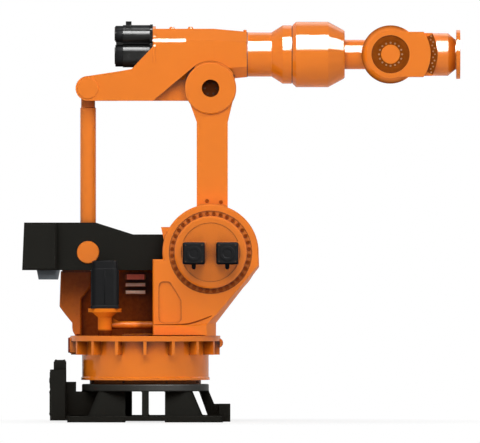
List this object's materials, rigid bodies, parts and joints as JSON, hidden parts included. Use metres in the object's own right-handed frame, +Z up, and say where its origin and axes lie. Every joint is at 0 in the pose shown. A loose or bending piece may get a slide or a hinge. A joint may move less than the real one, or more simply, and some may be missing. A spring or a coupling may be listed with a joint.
{
  "type": "industrial robot arm",
  "caption": "Heavy floor-mounted industrial robot arm with a parallel-link drive, a counterweighted lever and an in-line wrist, for lifting and placing loads.",
  "frame": {"origin": "on the floor, on the vertical slewing axis", "axes": "+Z up along the slewing axis, +X towards the tool flange with the arm straight ahead, +Y across the machine"},
  "size_m": [3.502, 1.3, 3.203],
  "materials": {
    "orange_paint": "gloss",
    "black_paint": "satin",
    "motor_black": "satin",
    "bare_steel": "oiled",
    "buffer_rubber": "matt"
  },
  "bodies": {
    "base": {"base_plate": "black_paint", "base_legs": "black_paint", "base_posts": "black_paint", "base_ring": "black_paint", "slewing_ring": "bare_steel", "anchor_block": "black_paint", "connection_panel": "black_paint", "socket_box": "black_paint", "cable_duct": "black_paint"},
    "turret": {"turntable": "orange_paint", "swivel_stop": "orange_paint", "front_cheek": "orange_paint", "rear_cheek": "orange_paint", "front_gear_cover": "orange_paint", "rear_gear_cover": "orange_paint", "front_motors": "motor_black", "rear_motors": "motor_black", "swivel_motor": "motor_black", "swivel_bracket": "orange_paint", "shoulder_shaft": "bare_steel"},
    "link": {"link_arm": "orange_paint", "elbow_cover_front": "orange_paint", "elbow_cover_rear": "orange_paint"},
    "elbow": {"elbow_pin": "bare_steel"},
    "lever": {"counterweight_lever": "black_paint", "counterweight": "black_paint", "lever_buffer": "buffer_rubber"},
    "crank": {"crank_pin": "orange_paint"},
    "rod": {"rod_tube": "orange_paint", "rod_eye_lower": "orange_paint", "rod_eye_upper": "orange_paint"},
    "upper_arm": {"arm_housing": "orange_paint", "arm_pin": "orange_paint", "wrist_motor_front": "motor_black", "wrist_motor_rear": "motor_black", "wrist_motor_lower": "motor_black", "forearm_tube": "orange_paint", "forearm_flange": "orange_paint"},
    "wrist_roll": {"wrist_bell": "orange_paint", "wrist_neck": "orange_paint"},
    "wrist_bend": {"wrist_housing": "orange_paint", "wrist_cover_front": "orange_paint", "wrist_cover_rear": "orange_paint", "hand_housing": "orange_paint"},
    "tool": {"tool_flange": "orange_paint"}
  },
  "joints": [
    {"name": "axis_1", "type": "hinge", "parent": "base", "child": "turret", "pos_m": [0, 0, 0.334], "axis": [0, 0, 1], "range_deg": [-150, 150]},
    {"name": "axis_2", "type": "hinge", "parent": "turret", "child": "link", "pos_m": [0.522, 0, 1.355], "axis": [0, 1, 0], "range_deg": [-40, 50]},
    {"name": "axis_3", "type": "hinge", "parent": "turret", "child": "lever", "pos_m": [0.522, 0, 1.355], "axis": [0, 1, 0], "range_deg": [-20, 50]},
    {"name": "elbow_swing", "type": "hinge", "parent": "link", "child": "elbow", "pos_m": [0.522, 0, 2.665], "axis": [0, 1, 0], "range_deg": [-50, 40]},
    {"name": "arm_swing", "type": "hinge", "parent": "elbow", "child": "upper_arm", "pos_m": [0.522, 0, 2.665], "axis": [0, 1, 0], "range_deg": [-20, 50]},
    {"name": "crank_swing", "type": "hinge", "parent": "lever", "child": "crank", "pos_m": [-0.458, 0, 1.355], "axis": [0, 1, 0], "range_deg": [-50, 20]},
    {"name": "rod_swing", "type": "hinge", "parent": "crank", "child": "rod", "pos_m": [-0.458, 0, 1.355], "axis": [0, 1, 0], "range_deg": [-40, 50]},
    {"name": "axis_4", "type": "hinge", "parent": "upper_arm", "child": "wrist_roll", "pos_m": [1.17, 0, 2.937], "axis": [1, 0, 0], "range_deg": [-350, 350]},
    {"name": "axis_5", "type": "hinge", "parent": "wrist_roll", "child": "wrist_bend", "pos_m": [1.96, 0, 2.937], "axis": [0, 1, 0], "range_deg": [-115, 115]},
    {"name": "axis_6", "type": "hinge", "parent": "wrist_bend", "child": "tool", "pos_m": [2.4783, 0, 2.937], "axis": [1, 0, 0], "range_deg": [-350, 350]}
  ],
  "couplings": [
    {"joint": "elbow_swing", "follows": "axis_2", "ratio": -1},
    {"joint": "arm_swing", "follows": "axis_3", "ratio": 1},
    {"joint": "crank_swing", "follows": "axis_3", "ratio": -1},
    {"joint": "rod_swing", "follows": "axis_2", "ratio": 1}
  ]
}
